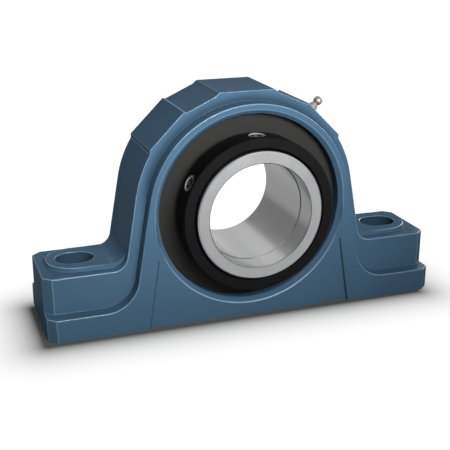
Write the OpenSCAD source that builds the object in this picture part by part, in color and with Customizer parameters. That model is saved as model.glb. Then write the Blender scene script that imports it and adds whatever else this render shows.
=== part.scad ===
// Pillow block bearing: a one-piece cast housing with a two-bolt base, holding a
// self-aligning double-row roller bearing. The long inner ring takes the shaft, and a
// collar with two set screws locks it there.
// X runs along the base, Y along the shaft with the collar on the -Y side, Z is up.
// The origin is the middle of the base's underside. All sizes are in millimetres.

/* [Base] */
// Length of the base
base_l = 349.5; // [330:0.5:380]
// Width of the wide lower slab, at the underside
slab_w = 94.6; // [92:0.1:104]
// Height of the lower slab
slab_h = 20; // [16:0.5:26]
// Width of the narrower upper body, at the underside
body_w = 70.4; // [64:0.1:76]
// Height of the feet
foot_h = 50.8; // [44:0.1:56]
// Length of the flats across the vertical corners, along the base
corner_x = 7.4; // [4:0.1:10]
// Length of the flats across the vertical corners, across the base
corner_y = 7; // [4:0.1:10]
// Casting draft of the upper body, in degrees
body_draft = 1.23; // [0.5:0.01:2]
// Casting draft of the slab and its flanks, in degrees
slab_draft = 1.4; // [0.5:0.01:2]

/* [Bolt slots] */
// Distance between the middles of the two slots
slot_spacing = 285.75; // [280:0.25:290]
// Width of a slot
slot_w = 26; // [20:0.5:28]
// Length of a slot from end to end
slot_l = 32.5; // [29:0.5:38]
// Height of the bolt pads over the feet
boss_h = 3.8; // [2:0.1:6]
// Radius of the bolt pads' round ends
boss_r = 24.5; // [20:0.5:26]

/* [Housing body] */
// Height of the shaft's axis over the underside
centre_h = 95.25; // [92:0.25:102]
// Radius of the upper body's outline
body_r = 97.5; // [95:0.5:100]
// Radius of the wide ring round the bearing
ring_r = 88.6; // [86:0.1:92]
// Width over the two machined faces
face_w = 90; // [86:0.5:92]
// Lean of the flanks from the vertical, in degrees
flank_lean = 10; // [6:0.5:12]
// Radius of the hollow corner between flank and foot
foot_fillet = 12; // [8:0.5:16]
// Radius of the hollow corner between flank and slab
slab_fillet = 28; // [20:0.5:32]
// Half the width of the front recess between the legs, at the underside
recess_x = 91; // [84:0.5:96]
// Lean of the recess's sides from the vertical, in degrees
recess_lean = 9; // [6:0.5:12]

/* [Crown] */
// How far the top pad lies inside the body's round outline
top_pad_drop = 0.8; // [0.2:0.1:1.5]
// Half the length of the top pad
top_pad_half = 24; // [20:0.5:27]
// How far the 45 degree pads lie inside that outline
side_pad_drop = 0.3; // [0.1:0.1:1.2]
// Half the length of the 45 degree pads
side_pad_half = 20.6; // [17:0.1:21]
// How far the lower flats between the pads lie inside that outline
flat_drop = 0.9; // [0.8:0.1:2]
// Half the length of those flats
flat_half = 13.7; // [12:0.1:14]
// Direction that those flats face, in degrees over the horizontal
flat_turn = 65.5; // [65:0.1:66]
// Diameter of the small spots left by the pattern's pins
spot_d = 2.2; // [1.5:0.1:3]

/* [Bearing] */
// Diameter of the shaft: 3 7/16 in
shaft_d = 87.312; // [80:0.001:90]
// Outer diameter of the bearing
bearing_od = 160; // [156:0.5:161]
// Width of the outer ring
outer_ring_w = 40; // [38:0.5:41]
// Radius of the ball-shaped track inside the outer ring
track_r = 74; // [73:0.1:75]
// Diameter of the rollers at their middle
roller_d = 20; // [19:0.1:20.4]
// Length of the rollers
roller_l = 15; // [13:0.1:15.5]
// Tilt of the rollers from the shaft's direction, in degrees
roller_tilt = 10; // [9:0.1:10.5]
// Outer diameter of the inner ring's long neck
neck_d = 108.2; // [107:0.1:108.8]
// Length of the inner ring in front of the middle of the housing
neck_front = 64.8; // [62:0.1:72]
// Length of the inner ring behind the middle of the housing
neck_rear = 34.5; // [33.5:0.1:40]
// Depth of the relieved mouth of the bore
mouth_l = 21.3; // [10:0.1:22.5]
// Extra radius of the relieved mouth
mouth_step = 0.5; // [0.45:0.05:0.8]

/* [Collar and set screws] */
// Outer diameter of the collar
collar_d = 130; // [126:0.5:133]
// Width of the collar
collar_w = 21.1; // [19:0.1:21.2]
// How far the inner ring stands out of the collar
collar_setback = 2.3; // [2.2:0.1:5]
// Diameter of the set screws: 1/2 in
screw_d = 12.7; // [10:0.1:14]
// Length of the set screws
screw_l = 20; // [16:0.1:20.4]
// Width across the flats of the socket in a set screw
socket_af = 6.35; // [5:0.05:7]
// Angle between the two set screws
screw_spread = 62; // [50:1:120]

/* [Rings and seals] */
// Depth of the bore's lead-in cone behind the machined face
rim_depth = 3.8; // [3:0.1:4.6]
// Radius of that cone at the machined face
rim_r = 83.6; // [82:0.1:84.5]
// Thickness of the retaining rings
snap_w = 4; // [3:0.1:4.5]
// Depth of the retaining rings' grooves
snap_groove = 3; // [2:0.1:4]
// How far the inner ring's rear end stands out of the rear seal
seal_setback = 1.5; // [1:0.1:2]
// Radius of the hole in a seal
seal_hole_r = 55; // [54.8:0.1:56]
// Thickness of a seal's outer band
seal_band = 3.5; // [3:0.1:4]
// Thickness of the flingers
flinger_w = 2; // [1.5:0.1:2.4]
// Outer radius of the flingers
flinger_r = 72; // [70:0.1:73]

/* [Grease nipple] */
// Width across the flats of the nipple's hexagon
nipple_af = 11.1; // [10:0.1:13]
// Height of the nipple over its pad
nipple_h = 16.5; // [14:0.1:20]
// Diameter of the nipple's round head
nipple_head_d = 8; // [6:0.1:8.5]

/* [Hidden] */
$fn = 96;

rollers = 16;            // rollers in each row
front = -1;              // the side of the collar
rear = 1;
seat_gap = 0.02;         // between a seated ring and its seat
slide_gap = 0.05;        // between a screw, or the nipple, and its hole
roll_gap = 0.05;         // between a roller and each track
pocket_gap = 0.25;       // between a roller and its cage
end_gap = 0.3;           // between a roller's ends and what lies beside them
tip_gap = 0.65;          // between a set screw's tip and the bore

shaft_r = shaft_d / 2;
bore_r = bearing_od / 2;
housing_bore_r = bore_r + seat_gap;
neck_r = neck_d / 2;
collar_r = collar_d / 2;
foot_top = foot_h + boss_h;
top_pad_d = body_r - top_pad_drop;
side_pad_d = body_r - side_pad_drop;
flat_d = body_r - flat_drop;
nipple_seat = max(side_pad_d, ring_r);     // the nipple stands on whichever lies further out
slot_x = slot_spacing / 2;
top_z = centre_h + body_r + 5;

// Place of the rollers: the middle of each lies at pitch_r from the bearing's middle
pitch_r = track_r - roll_gap - roller_d / 2;
half_roller = roller_l / 2;
inner_track_r = 75;      // hollow radius of the inner tracks, along the rollers
rib_r = 56.5;            // rib between the inner tracks
cage_half = 4;           // half the thickness of a cage
cage_ring_w = 3.2;       // width of the closed end of a cage

// Places along the shaft
rim_y = face_w / 2 - rim_depth;
snap_y = outer_ring_w / 2 + seat_gap;
collar_y = -(neck_front - collar_setback - collar_w / 2);
seal_y = neck_rear - seal_setback;         // outer edge of a seal
flinger_y = seal_y - 8.8;                  // inner face of the flinger behind it

function polar(turn, d, along) =
    [d * cos(turn) + along * sin(turn), centre_h + d * sin(turn) - along * cos(turn)];
function mirrored(points) =
    concat(points, [for (i = [len(points) - 1 : -1 : 0]) [-points[i][0], points[i][1]]]);
function flank_x(r, z) =
    r * cos(flank_lean) + (centre_h + r * sin(flank_lean) - z) * tan(flank_lean);

// Extrudes a drawing in X and Z, evenly to both sides of Y = 0
module across(width) {
    rotate([90, 0, 0]) linear_extrude(width, center = true) children();
}

// Turns a drawing of radius and place along Y round the shaft's axis
module turned() {
    translate([0, 0, centre_h]) rotate([-90, 0, 0]) rotate_extrude() children();
}

// Round bar along the shaft's axis, from y0 to y1
module bar(r, y0, y1) {
    translate([0, y0, centre_h]) rotate([-90, 0, 0]) cylinder(r = r, h = y1 - y0);
}

// Moves a piece that lies along +X out from the shaft's axis to a direction over the horizontal
module radial(turn, y = 0) {
    translate([0, y, centre_h]) rotate([0, -turn, 0]) children();
}

// Block with both long sides drafted inwards towards the top
module drafted(width, draft) {
    top = width / 2 - top_z * tan(draft);
    rotate([90, 0, 90])
        linear_extrude(base_l + 10, center = true)
            polygon([[-width / 2, 0], [width / 2, 0], [top, top_z], [-top, top_z]]);
}

// Plan of the base with flats across its corners
module plan(width) {
    x = base_l / 2;
    y = width / 2;
    linear_extrude(top_z)
        polygon([[-x, corner_y - y], [corner_x - x, -y], [x - corner_x, -y], [x, corner_y - y],
                 [x, y - corner_y], [x - corner_x, y], [corner_x - x, y], [-x, y - corner_y]]);
}

// Flanks and feet in X and Z: leaning flanks, tangent to a circle of radius r round the
// bearing, that run into a foot of height z with a hollow corner
module flanks(r, z, fillet) {
    side = [r * cos(flank_lean), centre_h + r * sin(flank_lean)];
    hollow_z = z + fillet;
    hollow_x = flank_x(r, hollow_z) + fillet / cos(flank_lean);
    touch = [hollow_x - fillet * cos(flank_lean), hollow_z - fillet * sin(flank_lean)];
    inside = 6;
    polygon(mirrored([side, [flank_x(r, z - inside), z - inside], [flank_x(r, z - inside), 0]]));
    polygon(mirrored([[base_l / 2, z], [base_l / 2, 0]]));
    for (s = [0, 1]) mirror([s, 0])
        difference() {
            polygon([[touch[0] - inside, touch[1]], [touch[0] - inside, z - inside],
                     [hollow_x, z - inside], [hollow_x, hollow_z], touch]);
            translate([hollow_x, hollow_z]) circle(r = fillet);
        }
}

// Crown of the upper body: a top pad, two lower flats and two 45 degree pads
module crown() {
    pad_end = polar(45, side_pad_d, side_pad_half);
    foot_of_step = centre_h + sqrt(pow(body_r, 2) - pow(pad_end[0], 2));
    intersection() {
        translate([0, centre_h]) circle(r = body_r);
        translate([-body_r, 0]) square([2 * body_r, foot_of_step]);
    }
    polygon(mirrored([
        polar(90, top_pad_d, top_pad_half),
        polar(flat_turn, flat_d, -flat_half), polar(flat_turn, flat_d, flat_half),
        polar(45, side_pad_d, -side_pad_half), pad_end,
        [pad_end[0], foot_of_step - 2]]));
}

// Cast body without its holes
module casting() {
    intersection() {
        across(slab_w) {
            flanks(ring_r, slab_h, slab_fillet);
            translate([0, centre_h]) circle(r = ring_r);
        }
        drafted(slab_w, slab_draft);
        plan(slab_w);
    }
    intersection() {
        across(body_w) {
            flanks(body_r, foot_h, foot_fillet);
            crown();
        }
        drafted(body_w, body_draft);
        plan(body_w - 1.6);
    }
    // Bolt pads, which run into the flanks with the same hollow corner as the feet
    intersection() {
        across(2 * boss_r) flanks(body_r, foot_top, foot_fillet);
        for (s = [-1, 1]) translate([s * slot_x, 0, 0]) {
            cylinder(r = boss_r, h = top_z);
            translate([-s * slot_x / 2, 0, top_z / 2])
                cube([slot_x, 2 * boss_r, top_z], center = true);
        }
    }
    bar(ring_r, -face_w / 2, face_w / 2);
}

module slot_holes() {
    for (s = [-1, 1]) translate([s * slot_x, 0, -1]) {
        for (e = [-1, 1]) translate([e * (slot_l - slot_w) / 2, 0, 0])
            cylinder(d = slot_w, h = foot_top + 2);
        translate([0, 0, foot_top / 2 + 1])
            cube([slot_l - slot_w, slot_w, foot_top + 2], center = true);
    }
}

// The faces machined flat between the legs, in front and behind
module leg_recesses() {
    recess_top = centre_h + 5;
    x_top = recess_x - recess_top * tan(recess_lean);
    for (s = [-1, 1]) translate([0, s * (face_w / 2 + 10), 0])
        across(20) polygon([[-recess_x, 0], [recess_x, 0], [x_top, recess_top],
                            [-x_top, recess_top]]);
}

// Small round spots where the pattern's pins stood
module spots() {
    depth = 0.8;
    spot_x = base_l / 2 - 11;
    spot_y = body_w / 2 - 9.5;
    for (x = [-1, 1]) for (y = [-1, 1])
        translate([x * spot_x, y * spot_y, foot_h - depth]) cylinder(d = spot_d, h = depth + 1, $fn = 24);
    translate([0, 4, centre_h + top_pad_d - depth]) cylinder(d = spot_d, h = depth + 1, $fn = 24);
}

nipple_depth = 9;        // length of the nipple's threaded shank
nipple_shank_r = 4.85;
grease_hole_r = 2;

module housing() color([0.30, 0.44, 0.58]) difference() {
    casting();
    slot_holes();
    leg_recesses();
    spots();
    bar(housing_bore_r, -slab_w, slab_w);
    for (s = [front, rear]) {
        turned() mirror([0, s > 0 ? 0 : 1])
            polygon([[housing_bore_r - 2, rim_y], [housing_bore_r, rim_y], [rim_r, face_w / 2],
                     [rim_r, slab_w], [housing_bore_r - 2, slab_w]]);
        bar(housing_bore_r + snap_groove,
            s > 0 ? snap_y : -snap_y - snap_w - seat_gap,
            s > 0 ? snap_y + snap_w + seat_gap : -snap_y);
    }
    radial(45) {
        translate([nipple_seat - nipple_depth - 1, 0, 0]) rotate([0, 90, 0])
            cylinder(r = nipple_shank_r + slide_gap, h = nipple_depth + 2);
        translate([bore_r - 4, 0, 0]) rotate([0, 90, 0])
            cylinder(r = grease_hole_r, h = nipple_seat - bore_r);
    }
}

module grease_nipple() color([0.72, 0.71, 0.69]) radial(45)
    translate([nipple_seat, 0, 0]) rotate([0, 90, 0]) {
        hex_h = 4;
        neck_r = nipple_head_d * 0.31;
        head_z = nipple_h - nipple_head_d / 2;
        difference() {
            union() {
                translate([0, 0, -nipple_depth])
                    cylinder(r = nipple_shank_r, h = nipple_depth + hex_h / 2);
                rotate(30) cylinder(d = nipple_af / cos(30), h = hex_h, $fn = 6);
                translate([0, 0, hex_h])
                    cylinder(r1 = nipple_af / 2 - 0.4, r2 = neck_r, h = head_z - 2.6 - hex_h);
                cylinder(r = neck_r, h = head_z);
                translate([0, 0, head_z]) sphere(d = nipple_head_d);
            }
            translate([0, 0, -nipple_depth - 1])
                cylinder(r = 1, h = nipple_depth + nipple_h + 2, $fn = 24);
            translate([0, 0, nipple_h - 0.5]) cylinder(d = nipple_head_d, h = 5);
        }
    }

module outer_ring() color([0.70, 0.71, 0.73]) {
    edge = 1.5;
    groove_w = 8;
    groove_depth = 2;
    half = outer_ring_w / 2;
    difference() {
        turned() difference() {
            polygon([[track_r - 12, -half], [bore_r - edge, -half], [bore_r, edge - half],
                     [bore_r, half - edge], [bore_r - edge, half], [track_r - 12, half]]);
            circle(r = track_r);
            translate([bore_r - groove_depth, -groove_w / 2]) square([groove_depth + 1, groove_w]);
        }
        for (turn = [45, 165, 285]) radial(turn)
            translate([track_r - 5, 0, 0]) rotate([0, 90, 0]) cylinder(r = 2, h = 12, $fn = 32);
    }
}

// Spring ring in its groove, open at the bottom, with a drilled ear on each side of the gap
module retaining_ring(side) color([0.25, 0.25, 0.26]) {
    ring_out = housing_bore_r + snap_groove - seat_gap;
    ring_in = bore_r - 3;
    ear_r = 3.4;
    ear_hole_r = 1.4;
    opening = 24;
    ear_turn = opening / 2 + 2.7;
    translate([0, side * (snap_y + snap_w / 2), centre_h]) across(snap_w)
        difference() {
            union() {
                difference() {
                    circle(r = ring_out);
                    circle(r = ring_in);
                }
                for (s = [-1, 1]) rotate(270 + s * ear_turn)
                    translate([ring_in, 0]) circle(r = ear_r);
            }
            polygon([[0, 0], for (a = [-opening / 2, 0, opening / 2])
                     [2 * ring_out * sin(a), -2 * ring_out * cos(a)]]);
            for (s = [-1, 1]) rotate(270 + s * ear_turn)
                translate([ring_in, 0]) circle(r = ear_hole_r);
        }
}

// Pressed labyrinth seal: an outer band in the bore, a dished web and two ribs behind it
module seal(side) color([0.17, 0.165, 0.155]) turned() mirror([0, side > 0 ? 0 : 1]) {
    web = 2.5;
    dish = 1.5;
    bevel = 0.7;
    rib_w = 2;
    inner_y = seal_y - dish;
    rib_end_y = flinger_y + flinger_w + 1.5;
    band_end_y = snap_y + snap_w + 0.4;
    polygon([[bore_r - seal_band, band_end_y], [bore_r, band_end_y],
             [bore_r, seal_y - bevel], [bore_r - bevel, seal_y], [seal_hole_r, inner_y],
             [seal_hole_r, inner_y - web], [bore_r - seal_band, seal_y - web]]);
    for (r = [seal_hole_r, flinger_r - 6.5])
        translate([r, rib_end_y]) square([rib_w, inner_y - 1 - rib_end_y]);
}

// Disc with a turned-out rim that spins inside the seal and throws grease outwards
module flinger(side) color([0.45, 0.45, 0.46]) turned() mirror([0, side > 0 ? 0 : 1]) {
    rim_w = 1.8;
    rim_h = 1.9;
    hub_w = 2;
    hole_r = neck_r + seat_gap;
    translate([hole_r, flinger_y]) square([flinger_r - hole_r, flinger_w]);
    translate([flinger_r - rim_w, flinger_y]) square([rim_w, flinger_w + rim_h]);
    translate([hole_r, flinger_y - hub_w]) square([hub_w, hub_w + flinger_w]);
}

// Frame of one roller row in radius and place along the shaft: X points away from the
// bearing's middle through the roller, Y lies along the roller
module row_frame(side) {
    translate([pitch_r * cos(roller_tilt), side * pitch_r * sin(roller_tilt)])
        rotate(side * roller_tilt) children();
}

module roller(side, i) color([0.78, 0.79, 0.80]) {
    turn = (i + (side > 0 ? 0.5 : 0)) * 360 / rollers;
    barrel_r = pitch_r + roller_d / 2;
    radial(turn)
        translate([pitch_r * cos(roller_tilt), side * pitch_r * sin(roller_tilt), 0])
            rotate([0, 0, side * roller_tilt]) rotate([-90, 0, 0]) rotate_extrude()
                intersection() {
                    translate([-pitch_r, 0]) circle(r = barrel_r, $fn = 720);
                    translate([0, -half_roller]) square([roller_d, roller_l]);
                }
}

// Comb-shaped cage: a closed end outside the row, and bars that reach in between the rollers
module cage(side) color([0.74, 0.60, 0.32]) difference() {
    turned() row_frame(side)
        translate([-cage_half, side > 0 ? -half_roller : -half_roller - end_gap - cage_ring_w])
            square([2 * cage_half, roller_l + end_gap + cage_ring_w]);
    for (i = [0 : rollers - 1]) radial((i + (side > 0 ? 0.5 : 0)) * 360 / rollers)
        translate([pitch_r * cos(roller_tilt), side * pitch_r * sin(roller_tilt), 0])
            rotate([0, 0, side * roller_tilt]) rotate([-90, 0, 0])
                translate([0, 0, side > 0 ? -half_roller - 10 : -half_roller - end_gap])
                    cylinder(r = roller_d / 2 + pocket_gap, h = roller_l + end_gap + 10);
}

// Half the room between the rows at radius r
function row_gap(r) =
    let (back = half_roller + end_gap)
    (r - back * sin(roller_tilt)) * tan(roller_tilt) - back * cos(roller_tilt);

module guide_ring() color([0.62, 0.60, 0.56]) turned() {
    r_in = rib_r + end_gap;
    r_out = track_r - 5.5;
    polygon([[r_in, -row_gap(r_in)], [r_out, -row_gap(r_out)],
             [r_out, row_gap(r_out)], [r_in, row_gap(r_in)]]);
}

// Space swept by one roller row, with the hollow track that it leaves in the inner ring
module inner_track(side) {
    row_frame(side) intersection() {
        translate([inner_track_r - roller_d / 2 - roll_gap, 0]) circle(r = inner_track_r, $fn = 720);
        translate([-roller_d, -half_roller - end_gap])
            square([2 * roller_d, roller_l + 2 * end_gap]);
    }
}

// Directions of the two set screws over the horizontal
screw_turns = [90, 90 + screw_spread];

module inner_ring() color([0.80, 0.80, 0.79]) {
    mouth_r = shaft_r + mouth_step;
    front_bevel = 0.6;
    neck_bevel = 1;
    rear_bevel = 1;
    difference() {
        turned() difference() {
            union() {
                polygon([[mouth_r, -neck_front + front_bevel], [mouth_r + front_bevel, -neck_front],
                         [neck_r - neck_bevel, -neck_front], [neck_r, neck_bevel - neck_front],
                         [neck_r, neck_rear - 0.8], [neck_r - 0.8, neck_rear],
                         [shaft_r + rear_bevel, neck_rear], [shaft_r, neck_rear - rear_bevel],
                         [shaft_r, mouth_l - neck_front], [mouth_r, mouth_l - neck_front]]);
                translate([neck_r - 1, -12]) square([rib_r - neck_r + 1, 24]);
            }
            inner_track(front);
            inner_track(rear);
        }
        for (turn = screw_turns) radial(turn, collar_y)
            translate([shaft_r - 5, 0, 0]) rotate([0, 90, 0])
                cylinder(d = screw_d + 0.4, h = neck_r - shaft_r + 8);
    }
}

module collar() color([0.055, 0.055, 0.055]) {
    hole_r = neck_r + seat_gap;
    front_y = collar_y - collar_w / 2;
    rear_y = collar_y + collar_w / 2;
    lead = 2.5;
    edge = 0.7;
    difference() {
        turned() polygon([[hole_r, front_y + lead], [hole_r + lead, front_y],
                          [collar_r - edge, front_y], [collar_r, front_y + edge],
                          [collar_r, rear_y - edge], [collar_r - edge, rear_y],
                          [hole_r + edge, rear_y], [hole_r, rear_y - edge]]);
        for (turn = screw_turns) radial(turn, collar_y)
            translate([neck_r - 5, 0, 0]) rotate([0, 90, 0])
                cylinder(d = screw_d + 2 * slide_gap, h = collar_r - neck_r + 10);
    }
}

// Socket set screw with a cup point, its tip just short of the bore
module set_screw(turn) color([0.62, 0.62, 0.62]) radial(turn, collar_y)
    translate([shaft_r + tip_gap, 0, 0]) rotate([0, 90, 0]) {
        point = 1.6;
        bevel = 0.9;
        socket_l = 8;
        difference() {
            union() {
                cylinder(d1 = screw_d - 2 * point, d2 = screw_d, h = point);
                translate([0, 0, point]) cylinder(d = screw_d, h = screw_l - point - bevel);
                translate([0, 0, screw_l - bevel])
                    cylinder(d1 = screw_d, d2 = screw_d - 2 * bevel, h = bevel);
            }
            translate([0, 0, -0.01])
                cylinder(d1 = screw_d - 2 * point - 1.6, d2 = 0.5, h = 2.5, $fn = 48);
            translate([0, 0, screw_l - socket_l])
                cylinder(d = socket_af / cos(30), h = socket_l + 1, $fn = 6);
        }
    }

housing();
grease_nipple();
outer_ring();
retaining_ring(front);  // front_retaining_ring
retaining_ring(rear);  // rear_retaining_ring
seal(front);  // front_seal
seal(rear);  // rear_seal
guide_ring();
inner_ring();
collar();
flinger(front);  // front_flinger
flinger(rear);  // rear_flinger
cage(front);  // front_cage
cage(rear);  // rear_cage
set_screw(screw_turns[0]);  // top_set_screw
set_screw(screw_turns[1]);  // side_set_screw
for (i = [1 : rollers]) {
    roller(front, i);
    roller(rear, i);
}
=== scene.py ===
# %% [markdown]
# # A pillow block bearing in its studio
# The object is a cast iron block that carries a shaft. It is painted blue-grey, and a bright steel
# ring with a black collar sticks out of its middle. The measured model gives every size and place.
# This lesson gives it rounded casting edges, finishes, a floor, light and a camera.

# %% Load the measured model
import math

import bmesh
import bpy
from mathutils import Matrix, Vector
from mathutils.bvhtree import BVHTree


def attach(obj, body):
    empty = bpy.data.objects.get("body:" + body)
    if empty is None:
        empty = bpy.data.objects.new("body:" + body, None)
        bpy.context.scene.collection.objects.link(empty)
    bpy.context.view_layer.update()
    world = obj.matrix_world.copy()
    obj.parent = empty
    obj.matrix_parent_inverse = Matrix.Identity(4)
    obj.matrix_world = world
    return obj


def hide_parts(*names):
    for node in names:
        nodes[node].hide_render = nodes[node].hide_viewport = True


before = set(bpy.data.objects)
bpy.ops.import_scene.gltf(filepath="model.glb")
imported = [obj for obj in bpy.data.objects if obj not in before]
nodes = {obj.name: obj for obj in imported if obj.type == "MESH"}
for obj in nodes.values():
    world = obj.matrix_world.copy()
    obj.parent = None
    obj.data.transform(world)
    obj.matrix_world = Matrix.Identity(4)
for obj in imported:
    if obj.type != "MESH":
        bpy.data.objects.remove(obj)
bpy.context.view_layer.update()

MM = 0.001
print("pieces in the measured model:", len(nodes))

# %% [markdown]
# ## Where the camera stands
# The photograph was taken from the left and a little above, with a long lens. A camera is easiest
# to place on a sphere round the point it looks at: a turn round the vertical, a rise over the
# floor and a distance. The lens then sets how large the object is in the frame.

# %% Camera
VIEW_TURN = math.radians(-19.57)
VIEW_RISE = math.radians(19.23)
VIEW_DISTANCE = 794.8 * MM
VIEW_TARGET = Vector((-8.55, 0, 67.68)) * MM
LENS_MM = 72.03

away = Vector((
    math.sin(VIEW_TURN) * math.cos(VIEW_RISE),
    -math.cos(VIEW_TURN) * math.cos(VIEW_RISE),
    math.sin(VIEW_RISE),
))
camera_data = bpy.data.cameras.new("camera")
camera_data.lens = LENS_MM
camera_data.sensor_width = 36
camera_data.clip_start = 0.01
camera = bpy.data.objects.new("camera", camera_data)
camera.location = VIEW_TARGET + VIEW_DISTANCE * away
camera.rotation_euler = away.to_track_quat("Z", "Y").to_euler()
bpy.context.scene.collection.objects.link(camera)
bpy.context.scene.camera = camera
bpy.context.scene.view_settings.view_transform = "Standard"
print("camera at", tuple(round(c, 3) for c in camera.location))

# %% [markdown]
# ## Sums in a material
# A material is a graph of nodes, and wiring each sum by hand hides what it means. A thin wrapper
# round a node's output lets Python write the nodes: `1 - mask * 0.2` adds two Math nodes. Every
# other node comes from one method, which sets the node's choices first and its sockets after.

# %% Shader helper
class Signal:
    """One output of a node, which can be added, subtracted and multiplied."""

    def __init__(self, maker, socket):
        self.maker = maker
        self.socket = socket

    def __add__(self, other):
        return self.maker.math("ADD", self, other)

    def __sub__(self, other):
        return self.maker.math("SUBTRACT", self, other)

    def __mul__(self, other):
        return self.maker.math("MULTIPLY", self, other)

    def __rsub__(self, other):
        return self.maker.math("SUBTRACT", other, self)

    __radd__ = __add__
    __rmul__ = __mul__


class Maker:
    """Adds nodes to one material or world."""

    def __init__(self, tree):
        self.tree = tree

    def node(self, kind, settings=None, sockets=None, output=0):
        made = self.tree.nodes.new(kind)
        for name, value in (settings or {}).items():
            setattr(made, name, value)
        for key, value in (sockets or {}).items():
            if isinstance(value, Signal):
                self.tree.links.new(value.socket, made.inputs[key])
            else:
                made.inputs[key].default_value = value
        return Signal(self, made.outputs[output]) if len(made.outputs) else made

    def math(self, operation, a, b=0.0):
        return self.node("ShaderNodeMath", {"operation": operation}, {0: a, 1: b})

    def absolute(self, value):
        return self.math("ABSOLUTE", value)

    def largest(self, a, b):
        return self.math("MAXIMUM", a, b)

    def length(self, a, b):
        return self.math("SQRT", a * a + b * b)

    def smooth_step(self, low, high, value):
        settings = {"interpolation_type": "SMOOTHSTEP"}
        sockets = {"Value": value, "From Min": low, "From Max": high}
        return self.node("ShaderNodeMapRange", settings, sockets)

    def beyond(self, low, high, value):
        """Mask that rises from 0 at low to 1 at high, both in millimetres."""
        return self.smooth_step(low * MM, high * MM, value)

    def within(self, low, high, value):
        """Mask that falls from 1 at low to 0 at high, both in millimetres."""
        return 1 - self.beyond(low, high, value)

    def blend(self, factor, a, b):
        settings = {"data_type": "RGBA", "clamp_factor": True}
        return self.node("ShaderNodeMix", settings, {0: factor, 6: a, 7: b}, output=2)

    def noise(self, place, scale, detail=2.0, roughness=0.5):
        sockets = {"Vector": place, "Scale": scale, "Detail": detail, "Roughness": roughness}
        return self.node("ShaderNodeTexNoise", None, sockets)

    def object_place(self):
        return self.node("ShaderNodeTexCoord", None, None, output=3)

    def parts_of(self, place):
        made = self.node("ShaderNodeSeparateXYZ", None, {0: place})
        outputs = made.socket.node.outputs
        return [Signal(self, outputs[i]) for i in range(3)]

    def bump(self, height, strength, distance):
        sockets = {"Height": height, "Strength": strength, "Distance": distance}
        return self.node("ShaderNodeBump", None, sockets)


def linear(red, green, blue, alpha=1):
    """A colour as a picture shows it, 0 to 255, in the linear values that shaders use."""
    def one(value):
        value /= 255
        return value / 12.92 if value <= 0.04045 else ((value + 0.055) / 1.055) ** 2.4
    return (one(red), one(green), one(blue), alpha)


def new_material(name, fixed):
    """A material with one Principled shader, whose sockets named in fixed are set at once."""
    material = bpy.data.materials.new(name)
    material.use_nodes = True
    tree = material.node_tree
    shader = tree.nodes["Principled BSDF"]
    for key, value in fixed.items():
        shader.inputs[key].default_value = value
    return material, Maker(tree), shader


def feed(maker, shader, **signals):
    """Links signals to the shader's sockets; an underscore in a name stands for a space."""
    for key, signal in signals.items():
        maker.tree.links.new(signal.socket, shader.inputs[key.replace("_", " ")])


print("a mid grey is", tuple(round(c, 3) for c in linear(128, 128, 128)))

# %% [markdown]
# ## Blue-grey enamel on a sand casting
# The paint is a satin enamel over iron that was poured in sand, so its cast faces keep a very fine
# grain, and its milled faces under the same paint are smooth. Rounded edges are painted paler, a
# painted highlight, and a painted shade darkens the hollow beside the ring, the slot walls, the
# pin spots and the step between the legs. The lower rim of the bearing's seat gets a stronger
# painted highlight. The edges are marked on the mesh later, in an attribute called `edge`. All
# other places are found by their distance from something: the shaft's axis, a slot, a step.

# %% Places on the block, in millimetres
SHAFT_Z = 95.25
CENTRE = Vector((0, 0, SHAFT_Z)) * MM
FACE_Y = 45
CROWN_Y = 25
RING_R = 88.6
SEAT_R = 84.6
LEG_X = 91
LEG_LEAN = math.tan(math.radians(9))
SLOT_X, SLOT_STRAIGHT, SLOT_R = 142.875, 3.25, 13
SPOT_X, SPOT_Y, SPOT_R = 163.75, 25.7, 1
print("the shaft's axis is", SHAFT_Z, "mm over the floor")


# %% Enamel
def leg_step_shade(m, x, z):
    """Painted shade: a dark line along the low step that ends the milled field between the legs.
    """
    from_step = m.absolute(m.absolute(x) + z * LEG_LEAN - LEG_X * MM)
    return m.within(0.3, 0.8, from_step)


def slot_wall_shade(m, x, y):
    """The walls of the bolt slots, painted darker as painted shade."""
    past_straight = m.absolute(m.absolute(x) - SLOT_X * MM) - SLOT_STRAIGHT * MM
    return m.within(SLOT_R, SLOT_R + 0.4, m.length(m.largest(past_straight, 0.0), y))


def pin_spot_shade(m, x, y):
    """The small dimples that the pattern's pins left on the feet, painted darker as painted shade.
    """
    spot_x = m.absolute(x) - SPOT_X * MM
    spot_y = m.absolute(y) - SPOT_Y * MM
    return m.within(SPOT_R, SPOT_R + 0.3, m.length(spot_x, spot_y))


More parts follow.
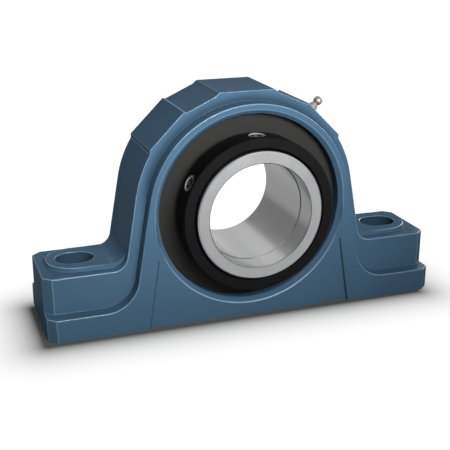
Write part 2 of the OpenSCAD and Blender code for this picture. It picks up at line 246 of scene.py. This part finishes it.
def make_enamel():
    fixed = {"Specular IOR Level": 0.0, "Coat Roughness": 0.2}
    material, m, shader = new_material("enamel", fixed)
    place = m.object_place()
    x, y, z = m.parts_of(place)
    up = z - CENTRE.z
    radius = m.length(x, up)
    depth = m.absolute(y)
    cast = m.within(FACE_Y - 0.15, FACE_Y - 0.05, depth)
    outside_ring = m.beyond(RING_R, RING_R + 0.5, radius)
    # Painted shade: a dark line along the step between the legs
    step_shade = leg_step_shade(m, x, z) * outside_ring * m.beyond(FACE_Y - 5, FACE_Y - 3, depth)
    # Painted shade in the hollow between the ring and the crown's shoulder, fading out at shaft
    # height
    hollow_shade = outside_ring * m.within(RING_R, RING_R + 9, radius)
    hollow_shade = hollow_shade * m.beyond(-5, 35, up) * m.beyond(CROWN_Y, CROWN_Y + 2, depth) * 0.9
    # One mask for the painted shade of the hollow, the slot walls and the pin spots
    dark = m.largest(m.largest(hollow_shade, slot_wall_shade(m, x, y) * 0.85), pin_spot_shade(m, x, y))
    # A stronger painted highlight on the lower rim of the bearing's seat
    rim = m.within(SEAT_R, SEAT_R + 0.4, radius) * m.beyond(FACE_Y - 1.2, FACE_Y - 0.8, depth)
    rim = rim * m.within(-70, -30, up)
    cloud = m.noise(place, 26, 3)
    grain = m.noise(place, 1500, 3, 0.6)
    pits = m.noise(place, 420, 2)
    edge = m.node("ShaderNodeAttribute", {"attribute_name": "edge"}, None, output=2)
    paint = m.blend(cloud, linear(55, 79, 99), linear(61, 86, 106))
    paint = m.blend(dark, paint, linear(34, 50, 64))
    paint = m.blend(step_shade * 0.8, paint, linear(24, 36, 48))
    # Outer edges painted paler, a painted highlight, and more so on the seat's lower rim
    paint = m.blend(edge * (0.3 + rim * 0.6), paint, linear(140, 172, 198))
    height = grain * 0.35 + pits * 0.65
    feed(
        m, shader,
        Base_Color=paint,
        Roughness=0.45 + cloud * 0.06 + cast * 0.05,
        Coat_Weight=0.08 + edge * 0.6,
        Normal=m.bump(height * cast, 0.35, 0.06 * MM),
    )
    return material


enamel = make_enamel()
print("enamel uses", len(enamel.node_tree.nodes), "nodes")

# %% [markdown]
# ## Ground bearing steel
# The inner ring is hardened steel, ground bright. Grinding leaves hair-fine rings round the
# shaft's axis, which spread a reflection across them. The rings are stripes over the distance
# from the axis and along it, so they turn the right way on the face and in the bore. The bore is
# smoother than the face and painted a little darker, a painted shade. Its mouth is a little wider,
# its bevel is painted darker, and a fine dark seam marks where it ends.

# %% Bearing steel
BORE_R = 44.2
BORE_BEVEL_R = 44.7
BORE_BEVEL_Y = -64.3
SEAM_Y = -43.5


def ring_lines(m, place, scale):
    """Fine lines round the shaft's axis, from the distance to it and the place along it."""
    x, y, z = m.parts_of(place)
    across = m.length(x, z - CENTRE.z) + y
    lines = m.node("ShaderNodeCombineXYZ", None, {0: across, 1: 0.0, 2: 0.0})
    return m.noise(lines, scale, 4, 0.7)


def in_the_bore(m, place, colour, spread):
    """Colour and roughness of the bored ring: the bore painted darker as painted shade, a dark
    seam, and a darker bevel at its mouth.
    """
    x, y, z = m.parts_of(place)
    radius = m.length(x, z - CENTRE.z)
    inside = m.within(BORE_R, BORE_R + 0.1, radius)
    seam = m.within(0.15, 0.5, m.absolute(y - SEAM_Y * MM))
    bevel = m.within(BORE_BEVEL_Y, BORE_BEVEL_Y + 0.2, y)
    bevel = bevel * m.within(BORE_BEVEL_R, BORE_BEVEL_R + 0.2, radius)
    # Painted shade: the bore is painted darker than the face
    colour = m.blend(inside * 0.85, colour, linear(172, 172, 172))
    colour = m.blend(seam * inside * 0.8, colour, linear(95, 95, 95))
    colour = m.blend(bevel * 0.8, colour, linear(105, 105, 105))
    return colour, spread - inside * 0.1 + seam * 0.3


def make_steel(name, shade, roughness, bored=False):
    material, m, shader = new_material(name, {"Metallic": 1.0})
    place = m.object_place()
    lines = ring_lines(m, place, 2600)
    smear = m.noise(place, 45, 3)
    dark = tuple(0.90 * c for c in shade[:3]) + (1,)
    colour = m.blend(lines * 0.5 + smear * 0.5, dark, shade)
    spread = roughness + smear * 0.08 + lines * 0.05
    if bored:
        colour, spread = in_the_bore(m, place, colour, spread)
    feed(
        m, shader,
        Base_Color=colour,
        Roughness=spread,
        Normal=m.bump(lines, 0.4, 0.004 * MM),
    )
    return material


bearing_steel = make_steel("bearing_steel", linear(208, 210, 211), 0.24, bored=True)
ground_steel = make_steel("ground_steel", linear(190, 192, 196), 0.18)
turned_steel = make_steel("turned_steel", linear(150, 148, 145), 0.34)
sheet_steel = make_steel("sheet_steel", linear(118, 118, 120), 0.38)
cage_brass = make_steel("cage_brass", linear(205, 160, 86), 0.32)
print("steel finishes:", bearing_steel.name, ground_steel.name, turned_steel.name)

# %% [markdown]
# ## Black oxide and phosphate
# The collar is blackened in a hot bath, which leaves a thin dark layer with an oily sheen: it is
# not quite black, and it mirrors the studio softly. All but its flat face is painted near black,
# a painted shade, and a pale ring round the holes of its two set screws is a painted highlight.
# The spring rings have a duller phosphate layer.

# %% Black steel
COLLAR_FACE_R = (56.3, 64.4)
SCREW_HOLE_R = 6.7
SCREW_Y = -51.95
SCREW_TURNS = [math.radians(90), math.radians(152)]


def from_screws(m, place):
    """Distance from the nearer set screw's axis, on that screw's side of the shaft."""
    x, y, z = m.parts_of(place)
    up = z - CENTRE.z
    distances = []
    for turn in SCREW_TURNS:
        aside = up * math.cos(turn) - x * math.sin(turn)
        behind = m.math("LESS_THAN", x * math.cos(turn) + up * math.sin(turn), 0.0)
        distances.append(m.length(aside, y - SCREW_Y * MM) + behind)
    return m.math("MINIMUM", *distances)


def make_black(name, shade, roughness, collar=False):
    material, m, shader = new_material(name, {"IOR": 1.5, "Specular IOR Level": 0.06})
    place = m.object_place()
    lines = ring_lines(m, place, 1800)
    blotch = m.noise(place, 60, 4)
    dark = tuple(0.8 * c for c in shade[:3]) + (1,)
    colour = m.blend(blotch, dark, shade)
    if collar:
        x, y, z = m.parts_of(place)
        radius = m.length(x, z - CENTRE.z)
        inner, outer = COLLAR_FACE_R
        face = m.beyond(inner, inner + 0.3, radius) * m.within(outer, outer + 0.3, radius)
        hole_highlight = m.within(SCREW_HOLE_R, SCREW_HOLE_R + 0.4, from_screws(m, place))
        # All but the flat face is painted near black, a painted shade
        colour = m.blend(face, linear(3, 3, 3), colour)
        # Painted highlight: a pale ring round the set screws' holes
        colour = m.blend(hole_highlight, colour, linear(122, 122, 120))
    feed(
        m, shader,
        Base_Color=colour,
        Roughness=roughness + blotch * 0.08,
        Normal=m.bump(lines, 0.25, 0.004 * MM),
    )
    return material


black_oxide = make_black("black_oxide", linear(17, 17, 18), 0.30, collar=True)
phosphate = make_black("phosphate", linear(52, 52, 54), 0.55)
print("black finishes:", black_oxide.name, phosphate.name)

# %% [markdown]
# ## Seal rubber
# The seal is pressed sheet under a skin of nitrile rubber, a warm dark grey with no shine. It has
# a faint bloom, pale and cloudy, and a fine grain from its mould.

# %% Rubber
def make_rubber():
    material, m, shader = new_material("seal_rubber", {"IOR": 1.45, "Specular IOR Level": 0.3})
    place = m.object_place()
    bloom = m.noise(place, 38, 4)
    grain = m.noise(place, 1900, 2)
    feed(
        m, shader,
        Base_Color=m.blend(bloom, linear(20, 20, 19), linear(26, 25, 24)),
        Roughness=0.58 + bloom * 0.12,
        Normal=m.bump(grain, 0.3, 0.03 * MM),
    )
    return material


seal_rubber = make_rubber()
print("rubber:", seal_rubber.name)

# %% [markdown]
# ## Small steel parts
# The set screws are plain steel. The middle of their outer end is painted dark, a painted shade
# for a socket's hollow, inside a bare rim, and the grease nipple is zinc plated. Both are small,
# so a fine cloudiness is enough for them.

# %% Screw steel and zinc
SCREW_RIM_R = 5


def make_small_part(name, metallic, roughness, colour_of):
    """A cloudy finish; colour_of gives its colour from the maker, the place and the cloud."""
    material, m, shader = new_material(name, {"Metallic": metallic})
    place = m.object_place()
    cloud = m.noise(place, 300, 3)
    feed(
        m, shader,
        Base_Color=colour_of(m, place, cloud),
        Roughness=roughness + cloud * 0.1,
        Normal=m.bump(m.noise(place, 2400, 2), 0.2, 0.01 * MM),
    )
    return material


def screw_colour(m, place, cloud):
    rim = m.beyond(SCREW_RIM_R, SCREW_RIM_R + 0.4, from_screws(m, place))
    bare = m.blend(cloud, linear(128, 128, 126), linear(145, 145, 143))
    # The middle of the end is painted dark, a painted shade for a socket's hollow
    return m.blend(rim, linear(30, 30, 30), bare)


def zinc_colour(m, place, cloud):
    return m.blend(cloud, linear(128, 123, 117), linear(158, 153, 147))


screw_steel = make_small_part("screw_steel", 0.0, 0.4, screw_colour)
zinc = make_small_part("zinc", 0.8, 0.42, zinc_colour)
print("small parts:", screw_steel.name, zinc.name)

# %% [markdown]
# ## Finishes on the measured pieces
# Most pieces keep the measured model's own mesh, which is exact. Each one gets its finish in its
# material slots.

# %% Give each piece its finish
FINISHES = {
    "grease_nipple": zinc,
    "outer_ring": ground_steel,
    "front_retaining_ring": phosphate,
    "rear_retaining_ring": phosphate,
    "front_seal": seal_rubber,
    "rear_seal": seal_rubber,
    "guide_ring": turned_steel,
    "inner_ring": bearing_steel,
    "collar": black_oxide,
    "front_flinger": sheet_steel,
    "rear_flinger": sheet_steel,
    "front_cage": cage_brass,
    "rear_cage": cage_brass,
    "top_set_screw": screw_steel,
    "side_set_screw": screw_steel,
}


def set_finish(piece, material):
    piece.data.materials.clear()
    piece.data.materials.append(material)


for name, node in nodes.items():
    if "roller" in name:
        set_finish(node, ground_steel)
    elif name in FINISHES:
        set_finish(node, FINISHES[name])
print("finished:", len(FINISHES), "pieces and the rollers")

# %% [markdown]
# ## The housing with rounded edges
# A casting has no sharp edge: sand can't hold one. The measured housing has true faces and sharp
# edges, so a merged copy of it takes its place. Its flat faces are dissolved into single faces
# first, because a bevel needs long clean edges, and slivers are joined to their neighbours.

# %% Merged copy
WELD = 0.1 * MM
FLAT_ANGLE = math.radians(0.06)
SLIVER_WIDTH = 0.02 * MM


def merged_copy(node):
    mesh = bmesh.new()
    mesh.from_mesh(node.data)
    bmesh.ops.remove_doubles(mesh, verts=mesh.verts, dist=WELD)
    bmesh.ops.dissolve_limit(
        mesh, angle_limit=FLAT_ANGLE, verts=mesh.verts, edges=mesh.edges,
        use_dissolve_boundaries=False,
    )
    slivers = []
    for face in mesh.faces:
        face.smooth = True
        longest = max(face.edges, key=lambda edge: edge.calc_length())
        if face.calc_area() < SLIVER_WIDTH * longest.calc_length():
            slivers.append(longest)
    bmesh.ops.dissolve_edges(mesh, edges=list(set(slivers)), use_verts=True)
    print("slivers joined to their neighbours:", len(slivers))
    return mesh


housing_mesh = merged_copy(nodes["housing"])
print("housing faces after merging:", len(housing_mesh.faces))

# %% [markdown]
# ## How round each edge is
# Cast edges are rounded by about 1 mm, and milled ones a little less. A step can't be rounded by
# more than about half its height, and two steps of this casting fade to nothing: the milled ring
# and the milled field between the legs meet the leaning wall at shaft height. So the rounding of
# an edge is worked out from where it lies, and kept as its bevel weight. An edge with a rounding
# of 0 stays sharp.

# %% Rounding of one edge
CAST_ROUNDING = 1.0
HOLLOW_ROUNDING = 0.5
MOUTH_ROUNDING = 0.9
CONE_ROUNDING = 0.4
SLOT_ROUNDING = 0.7
UNDERSIDE_ROUNDING = 0.7
PAD_ROUNDING = 0.9
CROWN_ROUNDING = 0.6
WALL_Y = 47.3
WALL_SLOPE = math.tan(math.radians(1.4))
CONE_R = 83.6
PAD_R = 24.5
SPOTS = [(x, y) for x in (-SPOT_X, SPOT_X) for y in (-SPOT_Y, SPOT_Y)] + [(0, 4)]


def ring_step(z):
    """Rounding that fits the step between the ring's face and the wall behind it."""
    return 0.45 * abs(FACE_Y - WALL_Y + WALL_SLOPE * z)


def near_slot(spot):
    along = max(abs(abs(spot.x) - SLOT_X) - SLOT_STRAIGHT, 0)
    return math.hypot(along, spot.y) < SLOT_R + 1.2


def near_spot(spot):
    return spot.z > 49 and any(math.hypot(spot.x - x, spot.y - y) < 1.5 for x, y in SPOTS)


def on_leg_line(spot):
    return abs(abs(spot.x) - (LEG_X - spot.z * LEG_LEAN)) < 0.6


def on_bolt_pad(spot):
    return abs(spot.y) < PAD_R + 1 and 50 < spot.z < 68 and 100 < abs(spot.x)


def seat_rounding(depth):
    """Rounding round the bearing's seat: at its mouth, at the cone's inner edge, none inside."""
    if depth > 44.5:
        return MOUTH_ROUNDING
    return CONE_ROUNDING if depth > 40 else 0


def rounding(edge):
    """Rounding radius in millimetres for a sharp edge of the housing."""
    ends = [v.co / MM for v in edge.verts]
    spot = (ends[0] + ends[1]) / 2
    along = ends[1] - ends[0]
    radii = [math.hypot(end.x, end.z - SHAFT_Z) for end in ends]
    depth = abs(spot.y)
    step = ring_step(spot.z)
    if max(radii) < CONE_R + 0.5 and depth < 45.5:
        return seat_rounding(depth)
    if near_spot(spot):
        return 0
    if near_slot(spot):
        return SLOT_ROUNDING if spot.z > 50 else HOLLOW_ROUNDING
    if spot.z < 0.5:
        return UNDERSIDE_ROUNDING
    if depth > 41 and on_leg_line(spot):
        return 0
    if depth > 41 and abs(radii[0] - RING_R) < 0.4 and step < CAST_ROUNDING:
        step = step if edge.is_convex else min(step, 0.3)
        return step if step > 0.25 else 0
    if on_bolt_pad(spot):
        return PAD_ROUNDING if abs(along.z) < 0.05 * along.length else 0
    if min(radii) > 94 and spot.z > 105:
        return CROWN_ROUNDING
    return CAST_ROUNDING if edge.is_convex else HOLLOW_ROUNDING


print("rounding of the ring's rim at its top:", round(ring_step(184), 2), "mm")

# %% Bevel the housing
SHARP_ANGLE = math.radians(20)
BEVEL_REACH = 1.1 * MM


def weigh_edges(mesh):
    weight = mesh.edges.layers.float.new("bevel_weight_edge")
    for edge in mesh.edges:
        if len(edge.link_faces) == 2 and edge.calc_face_angle(0) > SHARP_ANGLE:
            edge[weight] = rounding(edge) / CAST_ROUNDING
            edge.smooth = edge[weight] > 0


def to_object(mesh, name, material):
    data = bpy.data.meshes.new(name)
    mesh.to_mesh(data)
    mesh.free()
    data.materials.append(material)
    piece = bpy.data.objects.new(name, data)
    bpy.context.scene.collection.objects.link(piece)
    return piece


def apply_modifiers(piece):
    """Makes what the modifiers show the piece's own mesh."""
    graph = bpy.context.evaluated_depsgraph_get()
    shown = bpy.data.meshes.new_from_object(piece.evaluated_get(graph))
    piece.modifiers.clear()
    piece.data = shown


def put_back(piece, surface):
    """Moves points that the bevel threw past its end back on the measured surface."""
    strays = 0
    for vert in piece.data.vertices:
        nearest, _, _, distance = surface.find_nearest(vert.co)
        if distance > BEVEL_REACH:
            vert.co = nearest
            strays += 1
    print("points put back:", strays)


weigh_edges(housing_mesh)
casting = to_object(housing_mesh, "casting", enamel)
measured_surface = BVHTree.FromObject(casting, bpy.context.evaluated_depsgraph_get())
bevel = casting.modifiers.new("rounding", "BEVEL")
bevel.limit_method = "WEIGHT"
bevel.width = CAST_ROUNDING * MM
bevel.segments = 3
bevel.profile = 0.5
bevel.face_strength_mode = "FSTR_ALL"
bevel.use_clamp_overlap = False
bevel.miter_outer = "MITER_SHARP"
apply_modifiers(casting)
put_back(casting, measured_surface)
even = casting.modifiers.new("even_normals", "WEIGHTED_NORMAL")
even.mode = "FACE_AREA"
even.keep_sharp = True
print("casting has", len(casting.data.polygons), "faces")

# %% [markdown]
# ## Where the edges get a painted highlight
# Outer edges are painted paler, a painted highlight for the light they catch, and get more coat.
# How strongly the surface bends at a point follows from its neighbours: on an outer edge their
# middle lies behind the surface. Only points inside the narrow strips of a rounding are marked,
# because a mark on the corner of a large face would run right across it.

# %% Mark the outer edges
STRIP_WIDTH = 0.75 * MM
SHORTEST, LONGEST = 0.02 * MM, 2.5 * MM


def mark_edge_highlights(piece):
    mesh = bmesh.new()
    mesh.from_mesh(piece.data)
    mesh.normal_update()
    # The edge attribute drives the painted highlight on outer edges of the enamel
    layer = mesh.verts.layers.float.new("edge")
    for vert in mesh.verts:
        widths = [f.calc_area() / max(e.calc_length() for e in f.edges) for f in vert.link_faces]
        if max(widths, default=1) > STRIP_WIDTH:
            continue
        for edge in vert.link_edges:
            along = edge.other_vert(vert).co - vert.co
            if SHORTEST < along.length < LONGEST:
                bend = -4 * along.normalized().dot(vert.normal)
                vert[layer] = max(vert[layer], min(1, bend))
    mesh.to_mesh(piece.data)
    mesh.free()


mark_edge_highlights(casting)
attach(casting, "housing")
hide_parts("housing")
print("casting rides on the housing")

# %% [markdown]
# ## Floor
# The photograph has a white ground with a soft shadow under the block. The floor glows white for
# the camera, and half as much for reflections. Its glow fades towards the base, which draws the
# soft shadow, and a thin diffuse layer takes the lamps' own shadows. For all other light the floor
# is a plain grey, so that it throws little light up at the paint.

# %% What a ray sees, and the floor
BASE_MIDDLE = (-0.008, -0.009)
BASE_HALF = (0.167, 0.038)
SHADOW_REACH = 0.021
SHADOW_DEPTH = 1.17
WHITE = (1, 1, 1, 1)


def whiteness(m, mirrored):
    """How much of the white a ray gets: all for the camera, a share of it in a mirror."""
    outputs = m.node("ShaderNodeLightPath").socket.node.outputs
    seen = Signal(m, outputs["Is Camera Ray"]) + Signal(m, outputs["Is Glossy Ray"]) * mirrored
    return m.math("MINIMUM", seen + Signal(m, outputs["Is Transmission Ray"]), 1.0)


def grey_layer(m, shade):
    return m.node("ShaderNodeBsdfDiffuse", None, {"Color": (shade, shade, shade, 1)})


def make_floor():
    material = bpy.data.materials.new("floor")
    material.use_nodes = True
    m = Maker(material.node_tree)
    material.node_tree.nodes.clear()
    places = m.parts_of(m.object_place())
    beyond_base = [
        m.largest(m.absolute(place - middle) - half, 0.0)
        for place, middle, half in zip(places, BASE_MIDDLE, BASE_HALF)
    ]
    shade = m.math("EXPONENT", m.length(*beyond_base) * (-1 / SHADOW_REACH)) * SHADOW_DEPTH
    glow = m.largest(1 - shade, 0.0)
    white = m.node("ShaderNodeEmission", None, {"Color": WHITE, "Strength": glow})
    lit = m.node("ShaderNodeAddShader", None, {0: grey_layer(m, 0.1), 1: white})
    sockets = {0: whiteness(m, 0.45), 1: grey_layer(m, 0.2), 2: lit}
    mixed = m.node("ShaderNodeMixShader", None, sockets)
    m.node("ShaderNodeOutputMaterial", None, {0: mixed})
    return material


floor_mesh = bmesh.new()
bmesh.ops.create_grid(floor_mesh, x_segments=1, y_segments=1, size=4)
bmesh.ops.translate(floor_mesh, verts=floor_mesh.verts, vec=(0, 0, -0.05 * MM))
floor = to_object(floor_mesh, "floor", make_floor())
print("floor is", round(floor.dimensions.x, 2), "m wide")

# %% [markdown]
# ## World and lamps
# The studio's walls are white for the camera. In reflections the left side is dim and the right
# side is open, which gives the bore its dark band and the ring its even grey. A flat key lamp
# stands high in front, and its light is kept narrow, so that the crown is lit more than the feet.
# Four fill lamps light the top, the left flank, the right end and the back.

# %% World and lamps
DIM_SIDE, OPEN_SIDE = 0.16, 0.62
WALL_LIGHT = 0.19


def make_world():
    world = bpy.data.worlds.new("studio")
    world.use_nodes = True
    m = Maker(world.node_tree)
    world.node_tree.nodes.clear()
    direction_x = m.parts_of(m.node("ShaderNodeTexCoord"))[0]
    mirrored = DIM_SIDE + m.smooth_step(-0.17, -0.09, direction_x) * OPEN_SIDE
    strength = WALL_LIGHT + whiteness(m, mirrored) * (1 - WALL_LIGHT)
    background = m.node("ShaderNodeBackground", None, {"Color": WHITE, "Strength": strength})
    m.node("ShaderNodeOutputWorld", None, {0: background})
    return world


def add_lamp(name, place, target, width, height, watts, spread=180):
    data = bpy.data.lights.new(name, "AREA")
    data.shape = "RECTANGLE"
    data.size = width
    data.size_y = height
    data.energy = watts
    data.spread = math.radians(spread)
    lamp = bpy.data.objects.new(name, data)
    lamp.location = place
    lamp.rotation_euler = (Vector(place) - Vector(target)).to_track_quat("Z", "Y").to_euler()
    bpy.context.scene.collection.objects.link(lamp)


bpy.context.scene.world = make_world()
add_lamp("key", (-0.02, -0.52, 0.34), (-0.05, -0.04, 0.17), 0.45, 0.16, 1.06, spread=54)
add_lamp("top", (-0.05, 0.6, 0.75), CENTRE, 0.7, 0.7, 0.3)
add_lamp("back", (-0.85, 0.4, 0.3), CENTRE, 0.3, 0.3, 1.3)
add_lamp("side", (0.74, 0.52, 0.4), CENTRE, 0.4, 0.4, 4.4)
add_lamp("rear", (0.0, 1.2, 0.12), CENTRE, 0.3, 0.3, 3.0)
print("lamps:", [lamp.name for lamp in bpy.data.lights])
